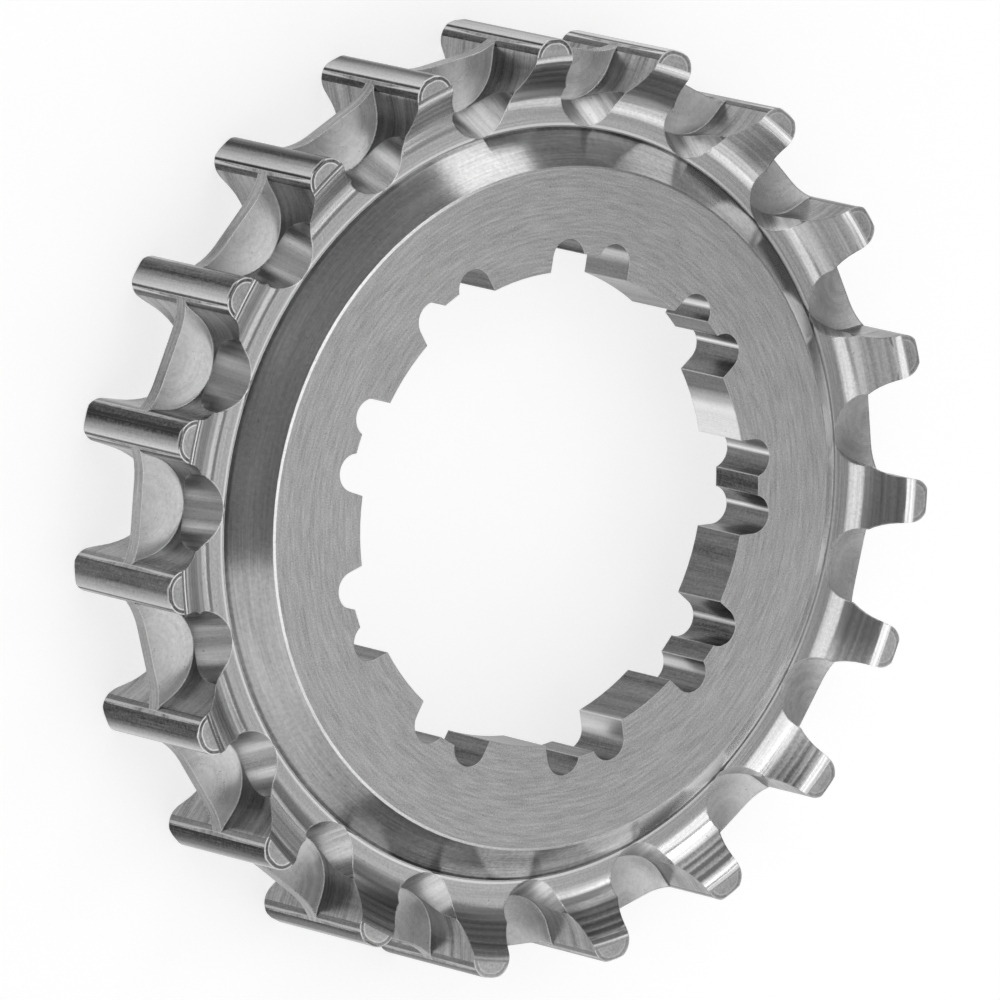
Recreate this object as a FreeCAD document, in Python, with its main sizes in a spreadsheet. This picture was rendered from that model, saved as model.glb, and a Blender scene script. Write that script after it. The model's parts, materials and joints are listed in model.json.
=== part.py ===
import FreeCAD, Part
import math
import os
import Sketcher

# Belt drive sprocket, machined from one piece of stainless steel.
# It lies on the back ends of its teeth, with the bore upright and the front hub face up.
# Lengths are in millimetres and angles in degrees.

DRIVING_SIZES = [
    # belt and teeth
    ("tooth_count", 19),
    ("belt_pitch", 11.0),
    ("belt_line_height", 1.66),
    ("tooth_width", 10.8),
    ("gap_depth", 4.7),
    ("gap_radius", 3.45),
    ("flank_angle", 16.2),
    ("tip_round", 1.3),
    ("end_break", 0.15),
    # centre fin between the teeth
    ("fin_thickness", 0.95),
    ("fin_drop", 1.25),
    ("fin_flat", 3.6),
    ("fin_bend", 5.0),
    ("fin_bend_turn", 30.0),
    # scoops that let mud out beside the fin
    ("scoop_width", 5.0),
    ("scoop_slope", 30.0),
    # rim section
    ("end_land", 1.45),
    ("crest_round", 1.0),
    ("rim_slope", 38.6),
    ("trough_depth", 2.4),
    ("trough_floor", 1.8),
    ("trough_fillet", 1.8),
    ("back_floor", 2.2),
    # hub
    ("hub_thickness", 4.7),
    ("face_slope", 45.0),
    ("face_break", 0.1),
    ("recess_slope", 45.0),
    # splined bore
    ("tab_count", 9),
    ("tab_radius", 15.95),
    ("groove_depth", 1.17),
    ("groove_width", 6.4),
    ("relief_radius", 1.3),
    ("relief_depth", 0.9),
    # how far a cutting outline runs past the metal that it cuts
    ("cut_margin", 1.0),
    ("tip_overlap", 0.02),
]

# Sizes that follow from the driving ones, as expressions on the sheet
TIP = "(Sizes.tooth_count * Sizes.belt_pitch / (2 * pi) - Sizes.belt_line_height)"
ROOT = f"({TIP} - Sizes.gap_depth)"
END_INNER = f"({TIP} - Sizes.end_land)"
RIM_FOOT = f"({END_INNER} - Sizes.trough_depth / tan(Sizes.rim_slope * 1 deg))"
CONE_FOOT = f"({RIM_FOOT} - Sizes.trough_floor)"
FACE_RADIUS = f"({CONE_FOOT} - Sizes.trough_depth / tan(Sizes.face_slope * 1 deg))"
HALF_WIDTH = "(Sizes.tooth_width / 2)"
TROUGH_LEVEL = f"({HALF_WIDTH} - Sizes.trough_depth)"
HUB_BACK = f"({HALF_WIDTH} - Sizes.hub_thickness)"
RECESS_RUN = f"(({HUB_BACK} + {TROUGH_LEVEL}) / tan(Sizes.recess_slope * 1 deg))"
RECESS_OUTER = f"({RIM_FOOT} - Sizes.back_floor)"
RECESS_INNER = f"({RECESS_OUTER} - {RECESS_RUN})"
TIP_CENTRE = f"({TIP} - Sizes.tip_round + Sizes.tip_overlap)"
OUTSIDE = f"({TIP} + Sizes.cut_margin)"
GAP_CENTRE = f"({ROOT} + Sizes.gap_radius)"
FIN_TOP = f"({TIP} - Sizes.fin_drop)"
FIN_RAMP_END = f"({FIN_TOP} + Sizes.fin_bend * (1 - cos(Sizes.fin_bend_turn * 1 deg)))"
FIN_BASE = f"({ROOT} - Sizes.cut_margin)"
FIN_FACE = "(Sizes.fin_thickness / 2)"
SIDE_DEPTH = f"({HALF_WIDTH} - {FIN_FACE} + Sizes.cut_margin)"
SCOOP_LENGTH = f"({SIDE_DEPTH} / cos(Sizes.scoop_slope * 1 deg))"
LAND_RADIUS = "(Sizes.tab_radius + Sizes.groove_depth)"
RELIEF_CENTRE = f"({LAND_RADIUS} + Sizes.relief_depth - Sizes.relief_radius)"
SCOOP_LEVEL = f"({HALF_WIDTH} + Sizes.cut_margin)"
SCOOP_AT_FIN = f"({ROOT} + Sizes.scoop_width / (2 * cos(Sizes.scoop_slope * 1 deg)))"
SCOOP_REACH = f"({SCOOP_AT_FIN} - {SIDE_DEPTH} * tan(Sizes.scoop_slope * 1 deg))"


def makeSheet(doc):
    sheet = doc.addObject("Spreadsheet::Sheet", "Sizes")
    for row, (name, value) in enumerate(DRIVING_SIZES, start=1):
        sheet.set(f"A{row}", name)
        sheet.set(f"B{row}", str(value))
        sheet.setAlias(f"B{row}", name)
    doc.recompute()
    return sheet


def originPart(body, role):
    for feature in body.Origin.OriginFeatures:
        if feature.Role == role:
            return feature
    raise ValueError(role)


def newSketch(body, name, role="XY_Plane", height=None, turn=None):
    """A sketch on one of the body's origin planes, lifted and turned by expressions on the sheet."""
    sketch = body.newObject("Sketcher::SketchObject", name)
    sketch.AttachmentSupport = [(originPart(body, role), "")]
    sketch.MapMode = "FlatFace"
    if height:
        sketch.setExpression("AttachmentOffset.Base.z", height)
    if turn:
        sketch.setExpression("AttachmentOffset.Rotation.Angle", turn)
    return sketch


def bind(sketch, constraint, expression):
    """Adds a constraint whose value follows the sheet."""
    index = sketch.addConstraint(constraint)
    sketch.setExpression(f"Constraints[{index}]", expression)


def place(sketch, curve, end, across, up):
    """Holds a point of a curve at two distances from the sketch's origin."""
    for kind, expression in (("DistanceX", across), ("DistanceY", up)):
        value = valueOf(sketch, expression)
        bind(sketch, Sketcher.Constraint(kind, -1, 1, curve, end, value), expression)


def valueOf(owner, expression):
    """The number that an expression on the sheet gives now."""
    value = owner.evalExpression(expression)
    return float(getattr(value, "Value", value))


def joinEnds(sketch, curves):
    """Joins each line of a closed chain to the next one."""
    for first, second in zip(curves, curves[1:] + curves[:1]):
        sketch.addConstraint(Sketcher.Constraint("Coincident", first, 2, second, 1))


def drawPolygon(sketch, corners):
    """A closed outline of straight lines through corners given as pairs of expressions."""
    points = [FreeCAD.Vector(valueOf(sketch, across), valueOf(sketch, up), 0) for across, up in corners]
    lines = []
    for start, end in zip(points, points[1:] + points[:1]):
        lines.append(sketch.addGeometry(Part.LineSegment(start, end)))
    joinEnds(sketch, lines)
    for line, (across, up) in zip(lines, corners):
        place(sketch, line, 1, across, up)


def circleEdges(shape, radius, height):
    """Names of the circular edges of a turned shape at that radius and height."""
    names = []
    for index, edge in enumerate(shape.Edges, start=1):
        curve = edge.Curve
        if not isinstance(curve, Part.Circle):
            continue
        if abs(curve.Radius - radius) < 1e-4 and abs(curve.Center.z - height) < 1e-4:
            names.append(f"Edge{index}")
    return names


def roundCorners(body, kind, name, base, size, corners):
    """Fillets or chamfers the turned corners given as pairs of expressions."""
    names = []
    for radius, height in corners:
        names += circleEdges(base.Shape, valueOf(base, radius), valueOf(base, height))
    feature = body.newObject(kind, name)
    feature.Base = (base, names)
    feature.setExpression("Radius" if kind == "PartDesign::Fillet" else "Size", f"Sizes.{size}")
    body.Document.recompute()
    return feature


def turnBlank(body):
    """The turned blank: hub, recess behind it, troughs on both sides of the rim and the full tooth ring."""
    sketch = newSketch(body, "BlankSection", "XZ_Plane")
    minusHalf = f"(-{HALF_WIDTH})"
    minusTrough = f"(-{TROUGH_LEVEL})"
    drawPolygon(sketch, [
        ("Sizes.tab_radius", HUB_BACK),
        (RECESS_INNER, HUB_BACK),
        (RECESS_OUTER, minusTrough),
        (RIM_FOOT, minusTrough),
        (END_INNER, minusHalf),
        (TIP, minusHalf),
        (TIP, HALF_WIDTH),
        (END_INNER, HALF_WIDTH),
        (RIM_FOOT, TROUGH_LEVEL),
        (CONE_FOOT, TROUGH_LEVEL),
        (FACE_RADIUS, HALF_WIDTH),
        ("Sizes.tab_radius", HALF_WIDTH),
    ])
    blank = body.newObject("PartDesign::Revolution", "Blank")
    blank.Profile = sketch
    blank.ReferenceAxis = (sketch, ["V_Axis"])
    blank.Angle = 360
    body.Document.recompute()
    fillet = "PartDesign::Fillet"
    bothEnds = (HALF_WIDTH, minusHalf)
    crests = [(END_INNER, z) for z in bothEnds]
    result = roundCorners(body, fillet, "CrestRound", blank, "crest_round", crests)
    result = roundCorners(body, fillet, "TroughFillet", result, "trough_fillet", [(RIM_FOOT, TROUGH_LEVEL)])
    chamfer = "PartDesign::Chamfer"
    result = roundCorners(body, chamfer, "EndBreak", result, "end_break", [(TIP, z) for z in bothEnds])
    return roundCorners(body, chamfer, "FaceBreak", result, "face_break", [(FACE_RADIUS, HALF_WIDTH)])


def flipped(vector):
    return FreeCAD.Vector(vector.x, -vector.y, 0)


def arc(centre, radius, start, end):
    """An arc drawn counter-clockwise between two angles."""
    circle = Part.Circle(centre, FreeCAD.Vector(0, 0, 1), radius)
    return Part.ArcOfCircle(circle, start, end)


def chain(sketch, kind, joints):
    """Joins curves end to end, where each joint is a curve and its end, then the next curve and its end."""
    for first, firstEnd, second, secondEnd in joints:
        sketch.addConstraint(Sketcher.Constraint(kind, first, firstEnd, second, secondEnd))


def mirrorEnds(sketch, pairs):
    """Keeps pairs of ends level with each other across the sketch's horizontal axis."""
    for high, highEnd, low, lowEnd in pairs:
        sketch.addConstraint(Sketcher.Constraint("Symmetric", high, highEnd, low, lowEnd, -1))


def drawGap(sketch):
    """The belt tooth gap: a round floor, two straight flanks and the rounded corners of both tooth tips."""
    angle = math.radians(valueOf(sketch, "Sizes.flank_angle"))
    gapRadius = valueOf(sketch, "Sizes.gap_radius")
    tipRound = valueOf(sketch, "Sizes.tip_round")
    tipCentre = valueOf(sketch, TIP_CENTRE)
    outside = valueOf(sketch, OUTSIDE)
    centre = FreeCAD.Vector(valueOf(sketch, GAP_CENTRE), 0, 0)
    along = FreeCAD.Vector(math.cos(angle), math.sin(angle), 0)
    away = FreeCAD.Vector(-math.sin(angle), math.cos(angle), 0)
    # the centre of the tip corner lies one radius beyond the flank, on its own circle round the bore
    start = centre + away * (gapRadius + tipRound)
    reach = -start.dot(along) + math.sqrt(start.dot(along) ** 2 + tipCentre ** 2 - start.dot(start))
    cornerCentre = start + along * reach
    cornerTurn = math.atan2(cornerCentre.y, cornerCentre.x)
    radial = FreeCAD.Vector(math.cos(cornerTurn), math.sin(cornerTurn), 0)
    foot = centre + away * gapRadius
    head = cornerCentre - away * tipRound
    crest = cornerCentre + radial * tipRound
    mouthEnd = radial * (outside / radial.x)

    floor = sketch.addGeometry(arc(centre, gapRadius, math.pi / 2 + angle, 3 * math.pi / 2 - angle))
    lowFlank = sketch.addGeometry(Part.LineSegment(flipped(foot), flipped(head)))
    lowCorner = sketch.addGeometry(arc(flipped(cornerCentre), tipRound, -cornerTurn, math.pi / 2 - angle))
    lowSide = sketch.addGeometry(Part.LineSegment(flipped(crest), flipped(mouthEnd)))
    mouth = sketch.addGeometry(Part.LineSegment(flipped(mouthEnd), mouthEnd))
    highSide = sketch.addGeometry(Part.LineSegment(mouthEnd, crest))
    highCorner = sketch.addGeometry(arc(cornerCentre, tipRound, angle - math.pi / 2, cornerTurn))
    highFlank = sketch.addGeometry(Part.LineSegment(head, foot))

    chain(sketch, "Tangent", [(highFlank, 2, floor, 1), (highFlank, 1, highCorner, 1)])
    chain(sketch, "Coincident", [
        (highCorner, 2, highSide, 2),
        (highSide, 1, mouth, 2),
        (mouth, 1, lowSide, 2),
        (lowSide, 1, lowCorner, 1),
        (lowCorner, 2, lowFlank, 2),
        (lowFlank, 1, floor, 2),
    ])
    mirrorEnds(sketch, [
        (highFlank, 2, lowFlank, 1),
        (highFlank, 1, lowFlank, 2),
        (highSide, 2, lowSide, 1),
        (mouth, 2, mouth, 1),
    ])
    sketch.addConstraint(Sketcher.Constraint("Equal", lowCorner, highCorner))
    sketch.addConstraint(Sketcher.Constraint("PointOnObject", -1, 1, highSide))
    sketch.addConstraint(Sketcher.Constraint("PointOnObject", highCorner, 3, highSide))
    bind(sketch, Sketcher.Constraint("DistanceX", -1, 1, floor, 3, centre.x), GAP_CENTRE)
    bind(sketch, Sketcher.Constraint("Radius", floor, gapRadius), "Sizes.gap_radius")
    bind(sketch, Sketcher.Constraint("Angle", -1, 1, highFlank, 2, angle), "Sizes.flank_angle * 1 deg")
    bind(sketch, Sketcher.Constraint("Radius", highCorner, tipRound), "Sizes.tip_round")
    bind(sketch, Sketcher.Constraint("Distance", -1, 1, highCorner, 3, tipCentre), TIP_CENTRE)
    bind(sketch, Sketcher.Constraint("DistanceX", -1, 1, mouth, 1, outside), OUTSIDE)


def drawFin(sketch):
    """The fin between two teeth: a straight top that curves up into the flanks, and sides in the teeth."""
    top = valueOf(sketch, FIN_TOP)
    bend = valueOf(sketch, "Sizes.fin_bend")
    half = valueOf(sketch, "Sizes.fin_flat / 2")
    rampEnd = valueOf(sketch, FIN_RAMP_END)
    base = valueOf(sketch, FIN_BASE)
    bendCentre = FreeCAD.Vector(top + bend, half, 0)
    turn = math.acos((bendCentre.x - rampEnd) / bend)
    edge = FreeCAD.Vector(top, half, 0)
    shoulder = FreeCAD.Vector(rampEnd, half + bend * math.sin(turn), 0)
    foot = FreeCAD.Vector(base, shoulder.y, 0)

    fin = sketch.addGeometry(Part.LineSegment(edge, flipped(edge)))
    lowRamp = sketch.addGeometry(arc(flipped(bendCentre), bend, math.pi, math.pi + turn))
    lowSide = sketch.addGeometry(Part.LineSegment(flipped(shoulder), flipped(foot)))
    bottom = sketch.addGeometry(Part.LineSegment(flipped(foot), foot))
    highSide = sketch.addGeometry(Part.LineSegment(foot, shoulder))
    highRamp = sketch.addGeometry(arc(bendCentre, bend, math.pi - turn, math.pi))

    chain(sketch, "Tangent", [(fin, 1, highRamp, 2)])
    chain(sketch, "Coincident", [
        (highRamp, 1, highSide, 2),
        (highSide, 1, bottom, 2),
        (bottom, 1, lowSide, 2),
        (lowSide, 1, lowRamp, 2),
        (lowRamp, 1, fin, 2),
    ])
    mirrorEnds(sketch, [(fin, 1, fin, 2), (highSide, 2, lowSide, 1), (bottom, 2, bottom, 1)])
    sketch.addConstraint(Sketcher.Constraint("Equal", lowRamp, highRamp))
    sketch.addConstraint(Sketcher.Constraint("Horizontal", highSide))
    bind(sketch, Sketcher.Constraint("Radius", highRamp, bend), "Sizes.fin_bend")
    bind(sketch, Sketcher.Constraint("DistanceX", -1, 1, fin, 1, top), FIN_TOP)
    bind(sketch, Sketcher.Constraint("DistanceY", fin, 2, fin, 1, 2 * half), "Sizes.fin_flat")
    bind(sketch, Sketcher.Constraint("DistanceX", -1, 1, highRamp, 1, rampEnd), FIN_RAMP_END)
    bind(sketch, Sketcher.Constraint("DistanceX", -1, 1, bottom, 1, base), FIN_BASE)


def drawGroove(sketch):
    """One groove of the splined bore: straight sides, a milled relief in each corner and the land between."""
    half = valueOf(sketch, "Sizes.groove_width / 2")
    relief = valueOf(sketch, "Sizes.relief_radius")
    land = valueOf(sketch, LAND_RADIUS)
    centre = FreeCAD.Vector(valueOf(sketch, RELIEF_CENTRE), half - relief, 0)
    inside = valueOf(sketch, "Sizes.tab_radius - Sizes.groove_width / 2")
    # the relief circle meets the land circle on the side that faces the groove's middle
    distance = centre.Length
    across = (distance ** 2 + land ** 2 - relief ** 2) / (2 * distance)
    off = math.sqrt(land ** 2 - across ** 2)
    radial = centre * (1 / distance)
    landEnd = FreeCAD.Vector(radial.x * across + radial.y * off, radial.y * across - radial.x * off, 0)
    landTurn = math.atan2(landEnd.y, landEnd.x)
    meetTurn = math.atan2(landEnd.y - centre.y, landEnd.x - centre.x)
    sideEnd = FreeCAD.Vector(centre.x, half, 0)
    mouthEnd = FreeCAD.Vector(inside, half, 0)

    mouth = sketch.addGeometry(Part.LineSegment(mouthEnd, flipped(mouthEnd)))
    lowSide = sketch.addGeometry(Part.LineSegment(flipped(mouthEnd), flipped(sideEnd)))
    lowRelief = sketch.addGeometry(arc(flipped(centre), relief, -math.pi / 2, -meetTurn))
    landArc = sketch.addGeometry(arc(FreeCAD.Vector(0, 0, 0), land, -landTurn, landTurn))
    highRelief = sketch.addGeometry(arc(centre, relief, meetTurn, math.pi / 2))
    highSide = sketch.addGeometry(Part.LineSegment(sideEnd, mouthEnd))

    sketch.addConstraint(Sketcher.Constraint("Coincident", mouth, 2, lowSide, 1))
    sketch.addConstraint(Sketcher.Constraint("Tangent", lowSide, 2, lowRelief, 1))
    sketch.addConstraint(Sketcher.Constraint("Coincident", lowRelief, 2, landArc, 1))
    sketch.addConstraint(Sketcher.Constraint("Coincident", landArc, 2, highRelief, 1))
    sketch.addConstraint(Sketcher.Constraint("Tangent", highRelief, 2, highSide, 1))
    sketch.addConstraint(Sketcher.Constraint("Coincident", highSide, 2, mouth, 1))
    sketch.addConstraint(Sketcher.Constraint("Horizontal", lowSide))
    sketch.addConstraint(Sketcher.Constraint("Horizontal", highSide))
    sketch.addConstraint(Sketcher.Constraint("Symmetric", mouth, 1, mouth, 2, -1))
    bind(sketch, Sketcher.Constraint("DistanceY", mouth, 2, mouth, 1, 2 * half), "Sizes.groove_width")
    mouthAt = "Sizes.tab_radius - Sizes.groove_width / 2"
    bind(sketch, Sketcher.Constraint("DistanceX", -1, 1, mouth, 1, inside), mouthAt)
    sketch.addConstraint(Sketcher.Constraint("Coincident", landArc, 3, -1, 1))
    bind(sketch, Sketcher.Constraint("Radius", landArc, land), LAND_RADIUS)
    for curve in (lowRelief, highRelief):
        bind(sketch, Sketcher.Constraint("Radius", curve, relief), "Sizes.relief_radius")
        bind(sketch, Sketcher.Constraint("DistanceX", -1, 1, curve, 3, centre.x), RELIEF_CENTRE)


def drawScoop(body):
    """The end of the round cutter that mills a scoop, square to the cutter's sloping path."""
    sketch = newSketch(body, "ScoopOutline")
    sketch.setExpression("AttachmentOffset.Base.x", SCOOP_REACH)
    sketch.setExpression("AttachmentOffset.Base.z", SCOOP_LEVEL)
    sketch.setExpression("AttachmentOffset.Rotation.Axis.y", "1")
    sketch.setExpression("AttachmentOffset.Rotation.Axis.z", "0")
    sketch.setExpression("AttachmentOffset.Rotation.Angle", "-Sizes.scoop_slope * 1 deg")
    radius = valueOf(sketch, "Sizes.scoop_width / 2")
    ring = sketch.addGeometry(Part.Circle(FreeCAD.Vector(0, 0, 0), FreeCAD.Vector(0, 0, 1), radius))
    sketch.addConstraint(Sketcher.Constraint("Coincident", ring, 3, -1, 1))
    bind(sketch, Sketcher.Constraint("Radius", ring, radius), "Sizes.scoop_width / 2")
    return sketch


def cutThrough(body, name, sketch):
    pocket = body.newObject("PartDesign::Pocket", name)
    pocket.Profile = sketch
    pocket.Type = "ThroughAll"
    pocket.Midplane = True
    body.Document.recompute()
    return pocket


def repeatRound(body, name, feature, count):
    """Copies a cut round the bore."""
    pattern = body.newObject("PartDesign::PolarPattern", name)
    pattern.Originals = [feature]
    pattern.Axis = (originPart(body, "Z_Axis"), [""])
    pattern.Angle = 360
    pattern.setExpression("Occurrences", count)
    body.Tip = pattern
    body.Document.recompute()
    return pattern


def makeSprocket(doc):
    body = doc.addObject("PartDesign::Body", "Sprocket")
    body.Label = "sprocket"
    turnBlank(body)

    grooveOutline = newSketch(body, "GrooveOutline", turn="180 deg / Sizes.tab_count")
    drawGroove(grooveOutline)
    groove = cutThrough(body, "Groove", grooveOutline)
    repeatRound(body, "SplineGrooves", groove, "Sizes.tab_count")

    gapOutline = newSketch(body, "GapOutline")
    drawGap(gapOutline)
    gap = cutThrough(body, "Gap", gapOutline)
    repeatRound(body, "TeethGaps", gap, "Sizes.tooth_count")

    # the cutter runs from outside the tooth's end into the open gap beside the fin
    scoop = body.newObject("PartDesign::Pocket", "Scoop")
    scoop.Profile = drawScoop(body)
    scoop.Type = "Length"
    scoop.setExpression("Length", SCOOP_LENGTH)
    doc.recompute()
    scoops = body.newObject("PartDesign::MultiTransform", "Scoops")
    scoops.Originals = [scoop]
    backSide = body.newObject("PartDesign::Mirrored", "BackSide")
    backSide.MirrorPlane = (originPart(body, "XY_Plane"), [""])
    allGaps = body.newObject("PartDesign::PolarPattern", "AllGaps")
    allGaps.Axis = (originPart(body, "Z_Axis"), [""])
    allGaps.Angle = 360
    allGaps.setExpression("Occurrences", "Sizes.tooth_count")
    scoops.Transformations = [backSide, allGaps]
    body.Tip = scoops
    doc.recompute()

    finOutline = newSketch(body, "FinOutline")
    drawFin(finOutline)
    fin = body.newObject("PartDesign::Pad", "Fin")
    fin.Profile = finOutline
    fin.Midplane = True
    fin.setExpression("Length", "Sizes.fin_thickness")
    doc.recompute()
    repeatRound(body, "Fins", fin, "Sizes.tooth_count")
    body.setExpression("Placement.Base.z", HALF_WIDTH)
    doc.recompute()
    return body


def checkDocument(doc):
    for item in doc.Objects:
        if "Invalid" in item.State or "Error" in item.State:
            raise RuntimeError(f"{item.Name} failed: {item.State}")


def main():
    doc = FreeCAD.newDocument("BeltDriveSprocket")
    makeSheet(doc)
    parts = [makeSprocket(doc)]
    doc.recompute()
    checkDocument(doc)
    os.makedirs("parts", exist_ok=True)
    for part in parts:
        if part.Shape.isNull() or not part.Shape.isValid():
            raise RuntimeError(f"{part.Label} has no valid shape")
        print(part.Label, "volume", round(part.Shape.Volume, 1), "box", part.Shape.BoundBox)
    for part in parts:
        part.Shape.exportStep(f"parts/{part.Label}.step")


main()
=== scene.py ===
import bpy
import json
import math
from mathutils import Matrix, Vector

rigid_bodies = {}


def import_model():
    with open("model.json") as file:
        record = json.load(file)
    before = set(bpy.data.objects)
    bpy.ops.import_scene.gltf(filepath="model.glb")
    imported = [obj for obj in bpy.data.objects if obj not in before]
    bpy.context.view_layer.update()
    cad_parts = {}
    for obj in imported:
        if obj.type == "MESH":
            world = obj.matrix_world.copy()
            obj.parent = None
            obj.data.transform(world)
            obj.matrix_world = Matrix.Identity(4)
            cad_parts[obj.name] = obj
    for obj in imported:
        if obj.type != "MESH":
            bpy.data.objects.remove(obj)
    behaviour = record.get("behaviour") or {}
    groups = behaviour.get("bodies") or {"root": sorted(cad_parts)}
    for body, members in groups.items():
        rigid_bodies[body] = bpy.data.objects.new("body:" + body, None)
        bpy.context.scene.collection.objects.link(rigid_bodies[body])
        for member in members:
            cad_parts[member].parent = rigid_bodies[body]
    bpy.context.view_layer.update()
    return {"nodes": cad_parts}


# Belt drive sprocket: one piece of stainless steel, turned and then milled.
# Everything is in metres, in the frame of the solid. mm turns real sizes into metres.
mm = 0.001

for leftover in list(bpy.data.objects):
    bpy.data.objects.remove(leftover)

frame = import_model()
print("frame loaded")


# sRGB hex to linear RGBA
def linear(hexColour):
    channels = [int(hexColour[i:i + 2], 16) / 255 for i in (1, 3, 5)]
    return [c / 12.92 if c <= 0.04045 else ((c + 0.055) / 1.055) ** 2.4 for c in channels] + [1.0]


# adds a node, with its settings, its input values and what its inputs are linked to. An input goes by
# its own name, with _ for a space, or by its number, such as _0 for the first
def addNode(tree, kind, settings=None, **links):
    node = tree.nodes.new("ShaderNode" + kind)
    for name, value in (settings or {}).items():
        setattr(node, name, value)
    for name, value in links.items():
        socket = node.inputs[int(name[1:])] if name[1:].isdigit() else node.inputs[name.replace("_", " ")]
        if isinstance(value, bpy.types.NodeSocket):
            tree.links.new(value, socket)
        else:
            socket.default_value = value
    return node


# camera: at the photograph's angle, far away and with a long lens, turned about its own axis
cameraView = {
    "aimAt": (-0.1 * mm, 0.3 * mm, 5.2 * mm),
    "azimuth": 64.23,
    "elevation": 52.24,
    "roll": 103.21,
    "distance": 1448.6 * mm,
    "lens": 782.0,
    "sightEnd": 20.0,
}


def direction(azimuth, elevation):
    a, e = math.radians(azimuth), math.radians(elevation)
    return Vector((math.cos(e) * math.cos(a), math.cos(e) * math.sin(a), math.sin(e)))


def placeCamera():
    toCamera = direction(cameraView["azimuth"], cameraView["elevation"])
    level = Vector((0, 0, 1)).cross(toCamera).normalized()
    upward = toCamera.cross(level)
    upright = Matrix((level, upward, toCamera)).transposed()
    turned = upright @ Matrix.Rotation(math.radians(cameraView["roll"]), 3, "Z")
    camera = bpy.data.objects.new("camera", bpy.data.cameras.new("camera"))
    camera.data.lens = cameraView["lens"]
    camera.data.clip_end = cameraView["sightEnd"]
    camera.matrix_world = turned.to_4x4()
    camera.location = Vector(cameraView["aimAt"]) + toCamera * cameraView["distance"]
    bpy.context.scene.collection.objects.link(camera)
    bpy.context.scene.camera = camera


placeCamera()
print("camera placed")


# lights: soft panels round the object, each at a bearing and a height above the floor.
# level is the panel's brightness, where 1 shows as white, and width and height are in degrees as seen
# from the object
panelDistance = 0.6
panels = {
    "ceiling": {"azimuth": 64, "elevation": 90, "width": 56, "height": 56, "level": 0.85},
    "highSide": {"azimuth": 6, "elevation": 54, "width": 46, "height": 12, "level": 1.1},
    "side": {"azimuth": 336, "elevation": 43, "width": 22, "height": 20, "level": 0.95},
    "sideStrip": {"azimuth": 329, "elevation": 18, "width": 18, "height": 18, "level": 1.2},
    "behind": {"azimuth": 250, "elevation": 57, "width": 56, "height": 14, "level": 0.42},
    "behindLow": {"azimuth": 242, "elevation": 28, "width": 24, "height": 14, "level": 1.15},
    "backLow": {"azimuth": 222, "elevation": 14, "width": 14, "height": 24, "level": 0.5},
    "backSide": {"azimuth": 198, "elevation": 42, "width": 44, "height": 36, "level": 0.6},
    "sideSoft": {"azimuth": 135, "elevation": 34, "width": 60, "height": 40, "level": 0.5},
}


def hangPanel(name, panel):
    outward = direction(panel["azimuth"], panel["elevation"])
    light = bpy.data.lights.new(name, "AREA")
    light.shape = "RECTANGLE"
    light.size = 2 * panelDistance * math.tan(math.radians(panel["width"] / 2))
    light.size_y = 2 * panelDistance * math.tan(math.radians(panel["height"] / 2))
    light.energy = panel["level"] * math.pi * light.size * light.size_y
    lamp = bpy.data.objects.new(name, light)
    lamp.rotation_euler = (math.radians(90 - panel["elevation"]), 0, math.radians(panel["azimuth"] + 90))
    lamp.location = outward * panelDistance
    bpy.context.scene.collection.objects.link(lamp)


for panelName, panel in panels.items():
    hangPanel(panelName, panel)

surroundings = {"colour": "#767676", "strength": 1.0}


def makeSurroundings():
    world = bpy.data.worlds.new("studio")
    world.use_nodes = True
    tree = world.node_tree
    tree.nodes.clear()
    glow = addNode(tree, "Background", Color=linear(surroundings["colour"]),
                   Strength=surroundings["strength"])
    addNode(tree, "OutputWorld", Surface=glow.outputs[0])
    bpy.context.scene.world = world


makeSurroundings()
print("lights hung")


# floor: plain white paper, so it is matte and keeps the object's shadow. lift is a glow that the camera
# and mirrors see, so it shows white, but it lights nothing by itself
floorSheet = {"side": 6.0, "colour": "#b0b0b0", "lift": 0.72}


def makeFloor():
    mesh = bpy.data.meshes.new("floor")
    half = floorSheet["side"] / 2
    corners = [(-half, -half, 0), (half, -half, 0), (half, half, 0), (-half, half, 0)]
    mesh.from_pydata(corners, [], [(0, 1, 2, 3)])
    floor = bpy.data.objects.new("floor", mesh)
    bpy.context.scene.collection.objects.link(floor)
    material = bpy.data.materials.new("white paper sweep")
    material.use_nodes = True
    tree = material.node_tree
    tree.nodes.clear()
    matte = addNode(tree, "BsdfDiffuse", Color=linear(floorSheet["colour"]))
    path = addNode(tree, "LightPath")
    seen = addNode(tree, "Math", {"operation": "MAXIMUM"},
                   _0=path.outputs["Is Camera Ray"], _1=path.outputs["Is Glossy Ray"])
    seenOrThrough = addNode(tree, "Math", {"operation": "MAXIMUM"},
                            _0=seen.outputs[0], _1=path.outputs["Is Transmission Ray"])
    lift = addNode(tree, "Math", {"operation": "MULTIPLY"},
                   _0=seenOrThrough.outputs[0], _1=floorSheet["lift"])
    glow = addNode(tree, "Emission", Strength=lift.outputs[0])
    both = addNode(tree, "AddShader", _0=matte.outputs[0], _1=glow.outputs[0])
    addNode(tree, "OutputMaterial", Surface=both.outputs[0])
    mesh.materials.append(material)


makeFloor()
print("floor laid")


# what all the finishes of the steel share. middle holds the height of the fins, and the radius at which
# the marks round the bore have their given length
middle = {"height": 5.4 * mm, "radius": 27.0 * mm}
# gapAxis and tipAxis say how far out the upright axes of the gaps and of the tips stand
teeth = {"count": 19, "gapAxis": 30.36 * mm, "tipAxis": 30.32 * mm, "tipHalfFlat": 0.17 * mm}
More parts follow.
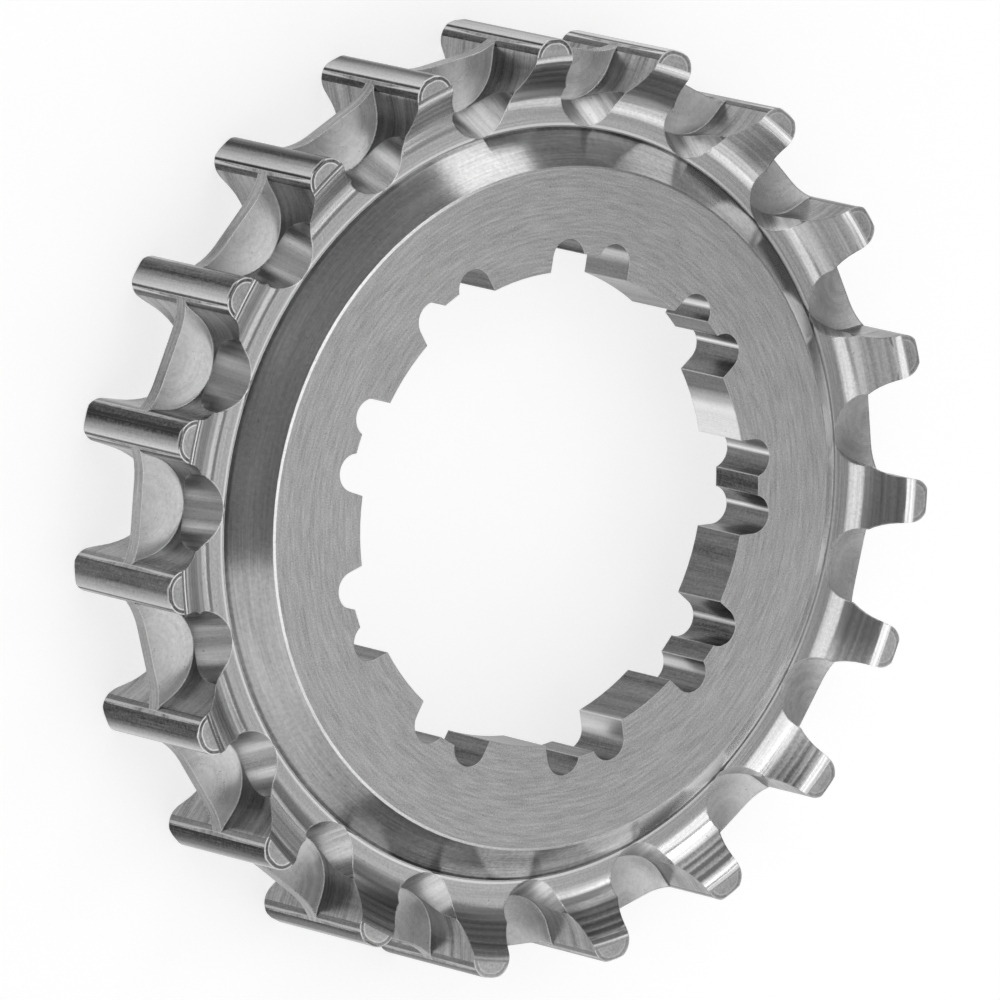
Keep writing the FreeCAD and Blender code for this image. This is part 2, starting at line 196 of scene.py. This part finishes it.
# the pits start where the noise passes one value and are at their darkest at the other
pits = {"spacing": 0.24 * mm, "detail": 1.0, "starts": 0.73, "full": 0.8, "strength": 0.4,
        "colour": "#383838"}
grain = {"marksDetail": 3.0, "bandsDetail": 1.0, "mottleDetail": 3.0, "mottleRoughness": 0.7,
         "cutRoughness": 0.6, "glossSwing": 0.12}
# an edge gets a painted highlight where its round leans from the facet: it starts at one cosine and is full
# at the other
edgeHighlight = {"samples": 4, "starts": 0.995, "full": 0.9}
plainTone = 0.5
quarterTurn = 0.25


# marks that are long or short round the bore, along the cut and across it, and meet all the way round
def pattern(tree, looks, across, along, around, detail):
    roundLength, alongLength, acrossLength = looks
    swept = addNode(tree, "VectorMath", {"operation": "SCALE"}, _0=around,
                    Scale=middle["radius"] / (roundLength * mm))
    lengthwise = addNode(tree, "Math", {"operation": "MULTIPLY"}, _0=along, _1=1 / (alongLength * mm))
    lift = addNode(tree, "CombineXYZ", Z=lengthwise.outputs[0])
    spot = addNode(tree, "VectorMath", {"operation": "ADD"}, _0=swept.outputs[0], _1=lift.outputs[0])
    crosswise = addNode(tree, "Math", {"operation": "MULTIPLY"}, _0=across, _1=1 / (acrossLength * mm))
    return addNode(tree, "TexNoise", {"noise_dimensions": "4D"}, Vector=spot.outputs[0],
                   W=crosswise.outputs[0], Scale=1.0, Detail=detail,
                   Roughness=grain["cutRoughness"]).outputs[0]


# how far a point lies from the upright axis of its gap or of its tooth's tip: to the side, and in all.
# The axis may be stretched to the sides into a short flat, which the distance in all leaves out
def fromAxis(tree, axes, radius, axisRadius, phase, halfFlat=0.0):
    pitch = 2 * math.pi / teeth["count"]
    turn = addNode(tree, "Math", {"operation": "ARCTAN2"}, _0=axes.outputs["Y"], _1=axes.outputs["X"])
    shifted = addNode(tree, "Math", {"operation": "SUBTRACT"}, _0=turn.outputs[0], _1=phase * pitch)
    local = addNode(tree, "Math", {"operation": "WRAP"},
                    _0=shifted.outputs[0], _1=pitch / 2, _2=-pitch / 2)
    sideways = addNode(tree, "Math", {"operation": "MULTIPLY"}, _0=local.outputs[0], _1=radius)
    outwards = addNode(tree, "Math", {"operation": "SUBTRACT"}, _0=radius, _1=axisRadius)
    apart = addNode(tree, "Math", {"operation": "ABSOLUTE"}, _0=sideways.outputs[0])
    beyond = addNode(tree, "Math", {"operation": "SUBTRACT"}, _0=apart.outputs[0], _1=halfFlat)
    kept = addNode(tree, "Math", {"operation": "MAXIMUM"}, _0=beyond.outputs[0], _1=0.0)
    offset = addNode(tree, "CombineXYZ", X=kept.outputs[0], Y=outwards.outputs[0])
    return sideways.outputs[0], addNode(tree, "VectorMath", {"operation": "LENGTH"},
                                        _0=offset.outputs[0]).outputs["Value"]


# a curve of tone along a place: the radius, the bearing, across a tooth or in from the edge of its tip. It is
# how the finishes paint light and shade into their colour
def shadeAlong(tree, axes, radius, kind, stops):
    if kind == "bearing":
        turn = addNode(tree, "Math", {"operation": "ARCTAN2"}, _0=axes.outputs["Y"], _1=axes.outputs["X"])
        value = addNode(tree, "Math", {"operation": "WRAP"},
                        _0=turn.outputs[0], _1=2 * math.pi, _2=0.0).outputs[0]
        unit = math.radians(1)
    elif kind == "radius":
        value, unit = radius, mm
    else:
        across, distance = fromAxis(tree, axes, radius, teeth["tipAxis"], 0.5, teeth["tipHalfFlat"])
        value, unit = (across, mm) if kind == "acrossTooth" else (distance, mm)
    low, high = stops[0][0], stops[-1][0]
    part = addNode(tree, "MapRange", Value=value,
                   From_Min=low * unit, From_Max=high * unit).outputs[0]
    curve = addNode(tree, "ValToRGB", Fac=part)
    points = curve.color_ramp.elements
    for at, tone in stops[1:-1]:
        points.new((at - low) / (high - low)).color = (tone, tone, tone, 1)
    for point, (at, tone) in zip(points, stops):
        point.color = (tone, tone, tone, 1)
    return curve.outputs[0]


# adds a pattern's swing about its middle, scaled by amount, to a base
def swing(tree, value, amount, base):
    offset = addNode(tree, "Math", {"operation": "SUBTRACT"}, _0=value, _1=plainTone)
    return addNode(tree, "Math", {"operation": "MULTIPLY_ADD"},
                   _0=offset.outputs[0], _1=amount, _2=base).outputs[0]


# cut steel: fine marks and broader bands that run the way the tool ran, and a faint mottle
def makeSteel(name, look):
    material = bpy.data.materials.new(name)
    material.use_nodes = True
    tree = material.node_tree
    tree.nodes.clear()
    place = addNode(tree, "TexCoord")
    axes = addNode(tree, "SeparateXYZ", _0=place.outputs["Object"])
    flat = addNode(tree, "CombineXYZ", X=axes.outputs["X"], Y=axes.outputs["Y"])
    radius = addNode(tree, "VectorMath", {"operation": "LENGTH"}, _0=flat.outputs[0]).outputs["Value"]
    around = addNode(tree, "VectorMath", {"operation": "NORMALIZE"}, _0=flat.outputs[0]).outputs[0]
    fromMiddle = addNode(tree, "Math", {"operation": "SUBTRACT"},
                         _0=axes.outputs["Z"], _1=middle["height"])
    rise = addNode(tree, "Math", {"operation": "ABSOLUTE"}, _0=fromMiddle.outputs[0]).outputs[0]
    slope = math.radians(look["slope"])
    leanOut = addNode(tree, "Math", {"operation": "MULTIPLY"}, _0=rise, _1=math.sin(slope))
    across = addNode(tree, "Math", {"operation": "MULTIPLY_ADD"}, _0=radius, _1=math.cos(slope),
                     _2=leanOut.outputs[0]).outputs[0]
    leanIn = addNode(tree, "Math", {"operation": "MULTIPLY"}, _0=radius, _1=-math.sin(slope))
    along = addNode(tree, "Math", {"operation": "MULTIPLY_ADD"}, _0=rise, _1=math.cos(slope),
                    _2=leanIn.outputs[0]).outputs[0]

    if "dish" in look:
        across = fromAxis(tree, axes, radius, teeth["gapAxis"], 0.0)[1]
    marks = pattern(tree, look["marks"], across, along, around, grain["marksDetail"])
    bands = pattern(tree, look["bands"], across, along, around, grain["bandsDetail"])
    mottle = addNode(tree, "TexNoise", Vector=place.outputs["Object"], Scale=1 / (look["mottle"] * mm),
                     Detail=grain["mottleDetail"], Roughness=grain["mottleRoughness"]).outputs[0]
    tone = look.get("plainTone", plainTone)
    fades = look.get("fades", {})
    # the shades paint highlights, reflections and shade into the tone, as strong at each bearing as the fades
    # say
    for kind, stops in look.get("shades", {}).items():
        amount = shadeAlong(tree, axes, radius, "bearing", fades[kind]) if kind in fades else 1.0
        tone = swing(tree, shadeAlong(tree, axes, radius, kind, stops), amount, tone)
    tone = swing(tree, marks, look["markContrast"], tone)
    tone = swing(tree, bands, look["bandContrast"], tone)
    tone = swing(tree, mottle, look["mottleContrast"], tone)
    colour = addNode(tree, "Mix", {"data_type": "RGBA", "clamp_factor": True}, _0=tone,
                     _6=linear(look["darkColour"]), _7=linear(look["lightColour"])).outputs[2]

    speck = addNode(tree, "TexNoise", Vector=place.outputs["Object"], Scale=1 / pits["spacing"],
                    Detail=pits["detail"])
    pitted = addNode(tree, "MapRange", Value=speck.outputs[0], From_Min=pits["starts"],
                     From_Max=pits["full"], To_Min=0.0, To_Max=pits["strength"]).outputs[0]
    colour = addNode(tree, "Mix", {"data_type": "RGBA"}, _0=pitted, _6=colour,
                     _7=linear(pits["colour"])).outputs[2]

    # the edges: broken by hand to a small round, which the Bevel gives the shading, and a painted highlight
    # in the edge's colour along them
    rounded = addNode(tree, "Bevel", {"samples": edgeHighlight["samples"]}, Radius=look["edge"] * mm).outputs[0]
    plain = addNode(tree, "NewGeometry").outputs["Normal"]
    turned = addNode(tree, "VectorMath", {"operation": "DOT_PRODUCT"}, _0=rounded, _1=plain)
    paintedEdgeHighlight = addNode(tree, "MapRange", Value=turned.outputs["Value"], From_Min=edgeHighlight["starts"],
                     From_Max=edgeHighlight["full"], To_Min=0.0, To_Max=look["edgeBright"]).outputs[0]
    colour = addNode(tree, "Mix", {"data_type": "RGBA"}, _0=paintedEdgeHighlight, _6=colour,
                     _7=linear(look["edgeColour"])).outputs[2]

    relief = swing(tree, mottle, look["mottleHeight"], marks)
    if "dish" in look:
        squared = addNode(tree, "Math", {"operation": "POWER"}, _0=across, _1=2.0)
        relief = addNode(tree, "Math", {"operation": "MULTIPLY_ADD"}, _0=squared.outputs[0],
                         _1=look["dish"] / (mm * mm), _2=relief).outputs[0]
    bump = addNode(tree, "Bump", Height=relief, Strength=1.0, Distance=look["markHeight"] * mm,
                   Normal=rounded)
    roughness = swing(tree, bands, grain["glossSwing"], look["roughness"])
    tangent = addNode(tree, "Tangent", {"direction_type": "RADIAL", "axis": "Z"})
    steel = addNode(tree, "BsdfPrincipled", Base_Color=colour, Metallic=1.0, Roughness=roughness,
                    Anisotropic=look["anisotropic"],
                    Anisotropic_Rotation=quarterTurn if look["turned"] else 0.0,
                    Normal=bump.outputs[0], Tangent=tangent.outputs[0])
    addNode(tree, "OutputMaterial", Surface=steel.outputs[0])
    return material


# the finishes, by where the tool cut: lathe on the faces that run round the bore, mill in the gaps.
# Each look gives the marks' length round the bore, along the cut and across it in mm. The marks are
# drawn coarser than a real cutter leaves them, because finer ones wouldn't show at this distance.
# turned says that the grain runs round the bore, slope leans the cut in degrees, and edge is the round
# of an edge in mm, along which edgeBright paints a highlight in the edge's colour. dish raises a side
# with the square of the distance from the axis of its gap.
# Its shades are curves of tone, from 0 for the dark colour to 1 for the light one, where 0.5 is plain. They
# paint highlights, reflections and shade into the colour.
# Its fades say how strong such a curve is at each bearing, because the light came from one side.
finishes = {
    # faced on the lathe: a fine even grey with a close grain and rings too faint to count
    "turned steel face": {
        "turned": True, "slope": 0, "marks": (2.2, 2.2, 0.15), "bands": (30.0, 30.0, 1.6), "mottle": 0.1,
        "markContrast": 1.2, "bandContrast": 0.12, "mottleContrast": 1.8, "darkColour": "#949494",
        "lightColour": "#dcdcdc", "markHeight": 0.0025, "mottleHeight": 0.5, "roughness": 0.36,
        "anisotropic": 0.4, "edge": 0.07, "edgeColour": "#ffffff", "edgeBright": 0.7},
    # the flat front ends of the teeth: faced with the hub. Their outline was rounded by hand, and its inTip
    # curve paints the round's light as a strip of painted shade between two thin painted highlights, stronger
    # on one side by its fades
    "turned steel tooth end": {
        "turned": True, "slope": 0, "marks": (3.0, 3.0, 0.12), "bands": (3.0, 3.0, 0.8), "mottle": 0.16,
        "shades": {"inTip": ((0.0, 0.4), (0.9, 0.45), (0.93, 0.85), (1.0, 0.85), (1.04, 0.1), (1.2, 0.1),
                             (1.24, 0.9), (1.35, 0.9))},
        "fades": {"inTip": ((0, 1.0), (120, 1.0), (160, 0.35), (325, 0.35), (345, 1.0))},
        "markContrast": 0.3, "bandContrast": 0.3, "mottleContrast": 0.7, "darkColour": "#606060",
        "lightColour": "#ffffff", "markHeight": 0.0025, "mottleHeight": 0.8, "roughness": 0.3,
        "anisotropic": 0.3, "edge": 0.1, "edgeColour": "#f4f4f4", "edgeBright": 0.2},
    # finished to a soft polish with fine rings. Its bearing curve paints reflections as light and dark
    # sectors, and its radius curve paints shade as a dark band at its foot
    "polished steel cone": {
        "turned": True, "slope": 0, "marks": (5.0, 5.0, 0.1), "bands": (14.0, 14.0, 1.6), "mottle": 0.3,
        "shades": {"radius": ((22.9, 0.58), (25.1, 0.58), (25.18, 0.3), (25.4, 0.3)),
                   "bearing": ((0, 0.48), (105, 0.48), (150, 0.2), (180, 0.2), (220, 0.42), (245, 0.56),
                               (270, 0.45), (303, 0.14), (342, 0.48), (360, 0.48))},
        "markContrast": 0.45, "bandContrast": 0.6, "mottleContrast": 0.4, "darkColour": "#505050",
        "lightColour": "#ffffff", "markHeight": 0.003, "mottleHeight": 0.4, "roughness": 0.17,
        "anisotropic": 0.45, "edge": 0.05, "edgeColour": "#f4f4f4", "edgeBright": 0.6},
    # the trough and the slope of the rim: smooth, with soft rings. Its radius curve paints reflections as
    # light and dark rings, with painted shade and a painted highlight line beside the cone, stronger on one
    # side by its fades
    "turned steel rim": {
        "turned": True, "slope": 0, "marks": (8.0, 8.0, 0.13), "bands": (40.0, 40.0, 0.9), "mottle": 0.2,
        "shades": {"radius": ((25.3, 0.3), (25.42, 0.3), (25.46, 1.0), (25.57, 1.0), (25.64, 0.55),
                              (26.5, 0.55), (26.8, 0.66), (27.3, 0.74), (27.9, 0.7), (28.15, 0.33),
                              (28.4, 0.4), (28.55, 0.22), (28.8, 0.38), (29.0, 0.2), (29.3, 0.38),
                              (29.45, 0.16), (29.7, 0.4), (29.9, 0.7))},
        "fades": {"radius": ((0, 1.0), (165, 1.0), (178, 2.0), (210, 2.0), (228, 1.0), (240, 0.5), (300, 0.5),
                             (335, 1.0))},
        "markContrast": 0.45, "bandContrast": 0.4, "mottleContrast": 0.4, "darkColour": "#666666",
        "lightColour": "#ffffff", "markHeight": 0.003, "mottleHeight": 0.4, "roughness": 0.17,
        "anisotropic": 0.5, "edge": 0.12, "edgeColour": "#f4f4f4", "edgeBright": 0.7},
    # the round of the crest: the tool dwelt here, so its rings are dark and bright by turns. Its radius curve
    # paints a highlight band along the round, faint on one side by its fades
    "turned steel crest": {
        "turned": True, "slope": 0, "marks": (9.0, 9.0, 0.14), "bands": (30.0, 30.0, 0.3), "mottle": 0.2,
        "shades": {"radius": ((29.7, 0.4), (29.9, 0.8), (30.2, 0.9), (30.35, 0.65), (30.5, 0.45))},
        "fades": {"radius": ((0, 0.2), (160, 0.2), (200, 0.75), (310, 0.75), (350, 0.2))},
        "markContrast": 1.1, "bandContrast": 1.2, "mottleContrast": 0.4, "darkColour": "#5c5c5c",
        "lightColour": "#ffffff", "markHeight": 0.004, "mottleHeight": 0.3, "roughness": 0.17,
        "anisotropic": 0.5, "edge": 0.03, "edgeColour": "#f4f4f4", "edgeBright": 0.3},
    # the round tips of the teeth: dark, as a painted reflection of the dark they mirror, with streaks that
    # run the tooth's whole width.
    # Their acrossTooth curve paints a soft highlight band on one side of each tip and thin highlight lines at
    # the two corners
    "milled steel tip": {
        "turned": False, "slope": 0, "marks": (0.14, 4.0, 0.14), "bands": (1.0, 40.0, 1.0), "mottle": 0.2,
        "shades": {"acrossTooth": ((-1.45, 0.2), (-1.3, 0.2), (-1.26, 0.6), (-1.18, 0.6), (-1.12, 0.06),
                                   (-0.2, 0.04), (0.5, 0.55), (0.9, 0.8), (0.97, 0.05), (1.06, 0.05),
                                   (1.1, 0.8), (1.2, 0.8), (1.26, 0.1), (1.45, 0.1))},
        "markContrast": 0.28, "bandContrast": 0.4, "mottleContrast": 0.3, "darkColour": "#2e2e2e",
        "lightColour": "#e0e0e0", "markHeight": 0.004, "mottleHeight": 0.4, "roughness": 0.24,
        "anisotropic": 0.4, "edge": 0.15, "edgeColour": "#e8e8e8", "edgeBright": 0.7},
    # the walls of the gaps: the end of the cutter left arcs that run round each gap. Their colours are kept
    # dark, as a painted reflection of the dark they mirror
    "milled steel wall": {
        "turned": False, "slope": 0, "marks": (4.0, 0.16, 4.0), "bands": (5.0, 0.9, 5.0), "mottle": 0.2,
        "markContrast": 0.9, "bandContrast": 1.0, "mottleContrast": 0.6, "darkColour": "#4c4c4c",
        "lightColour": "#c0c0c0", "markHeight": 0.004, "mottleHeight": 0.4, "roughness": 0.28,
        "anisotropic": 0.3, "edge": 0.15, "edgeColour": "#e8e8e8", "edgeBright": 0.7},
    # the fin's sides: swept by the end of the cutter, which left them slightly dished, with faint arcs
    "milled steel fin": {
        "turned": False, "slope": 0, "marks": (3.0, 3.0, 0.3), "bands": (6.0, 6.0, 1.2), "mottle": 0.25,
        "markContrast": 0.35, "bandContrast": 0.35, "mottleContrast": 0.45, "darkColour": "#888888",
        "lightColour": "#f4f4f4", "markHeight": 0.004, "mottleHeight": 0.4, "dish": 5.5, "roughness": 0.28,
        "anisotropic": 0.2, "edge": 0.14, "edgeColour": "#ffffff", "edgeBright": 0.9},
    # the scoops: cut by the side of the cutter along its path, with a few broad bands
    "milled steel scoop": {
        "turned": False, "slope": 30, "marks": (0.16, 5.0, 0.16), "bands": (0.8, 30.0, 0.8), "mottle": 0.2,
        "markContrast": 0.7, "bandContrast": 1.4, "mottleContrast": 0.4, "darkColour": "#969696",
        "lightColour": "#ffffff", "markHeight": 0.005, "mottleHeight": 0.4, "roughness": 0.28,
        "anisotropic": 0.4, "edge": 0.14, "edgeColour": "#ffffff", "edgeBright": 0.8},
    # the splined bore: broached straight through, and dark as a painted reflection of the dark it mirrors.
    # Its bearing curve paints a highlight on one tab and a thin highlight streak in most of the reliefs
    "broached steel bore": {
        "turned": False, "slope": 0, "marks": (0.14, 3.5, 0.14), "bands": (1.6, 40.0, 1.6), "mottle": 0.2,
        "shades": {"bearing": ((168, 0.5), (169, 0.9), (171, 0.5), (190.2, 0.5), (190.9, 1.1), (192.6, 0.5),
                               (215.9, 0.5), (216.3, 1.0), (217.3, 1.0), (217.7, 0.5), (228.5, 0.5),
                               (229, 1.3), (229.5, 0.5), (254.1, 0.5), (254.6, 1.3), (255.1, 0.5),
                               (266.2, 0.5), (266.8, 1.4), (267.6, 0.5), (270.6, 1.2), (279, 1.2), (284, 0.5),
                               (291.6, 0.5), (292.1, 1.4), (292.8, 0.5), (303.7, 0.5), (304.4, 1.3),
                               (305.4, 0.5), (329.2, 0.6), (330, 1.1), (331, 0.5))},
        "plainTone": 0.1, "markContrast": 0.22, "bandContrast": 0.35, "mottleContrast": 0.2,
        "darkColour": "#363636", "lightColour": "#ffffff", "markHeight": 0.004, "mottleHeight": 0.4,
        "roughness": 0.28, "anisotropic": 0.4, "edge": 0.14, "edgeColour": "#f0f0f0", "edgeBright": 0.7},
}


# where one finish gives way to the next: radii from the bore's axis and heights from the back, in mm
borders = {"bore": 18.2, "face": 23.0, "cone": 25.4, "fin": 26.0, "rim": 29.7, "tip": 30.5, "tipTop": 31.4,
           "finSides": (4.0, 6.8), "finEdge": (4.9, 5.9), "trough": 8.3, "endBreak": 10.6, "endFlat": 10.7}
# how far a facet's normal leans: the least or the most of its part up, outwards or to the side
leans = {"level": 0.999, "boreWall": 0.5, "upright": 0.05, "round": 0.06, "breakUp": 0.2, "breakOut": 0.1,
         "tipOut": 0.35, "tipTopOut": 0.5, "backRim": 0.1}


# names the finish of a facet from where it lies and which way it faces
def finishAt(centre, normal):
    radius = math.hypot(centre.x, centre.y) / mm
    height = centre.z / mm
    outward = (normal.x * centre.x + normal.y * centre.y) / (radius * mm)
    sideways = math.sqrt(max(0.0, 1 - normal.z ** 2 - outward ** 2))
    level = abs(normal.z) > leans["level"]
    turnedRound = sideways < leans["round"]
    if radius < borders["bore"] and abs(normal.z) < leans["boreWall"]:
        return "broached steel bore"
    if level and radius < borders["face"]:
        return "turned steel face"
    if level and borders["finSides"][0] < height < borders["finSides"][1] and radius > borders["fin"]:
        return "milled steel fin"
    onFlat = normal.z > leans["level"] and height > borders["endFlat"]
    onBreak = normal.z > leans["breakUp"] and height > borders["endBreak"] and outward > leans["breakOut"]
    if onFlat or onBreak:
        return "turned steel tooth end"
    onTop = turnedRound and outward > leans["tipTopOut"] and radius > borders["tipTop"]
    if abs(normal.z) < leans["upright"] or onTop:
        onFin = borders["finEdge"][0] < height < borders["finEdge"][1]
        onTip = outward > leans["tipOut"] and radius > borders["tip"] and not onFin
        return "milled steel tip" if onTip else "milled steel wall"
    if turnedRound and height > borders["trough"]:
        if radius < borders["cone"]:
            return "polished steel cone"
        return "turned steel rim" if radius < borders["rim"] else "turned steel crest"
    if turnedRound and normal.z < -leans["backRim"]:
        return "turned steel rim"
    return "milled steel scoop"


def dressSprocket():
    sprocket = frame["nodes"]["sprocket"]
    mesh = sprocket.data
    mesh.materials.clear()
    slots = {}
    for number, (name, look) in enumerate(finishes.items()):
        mesh.materials.append(makeSteel(name, look))
        slots[name] = number
    for facet in mesh.polygons:
        facet.material_index = slots[finishAt(facet.center, facet.normal)]


dressSprocket()
print("steel finished")

bpy.context.scene.view_settings.view_transform = "Standard"
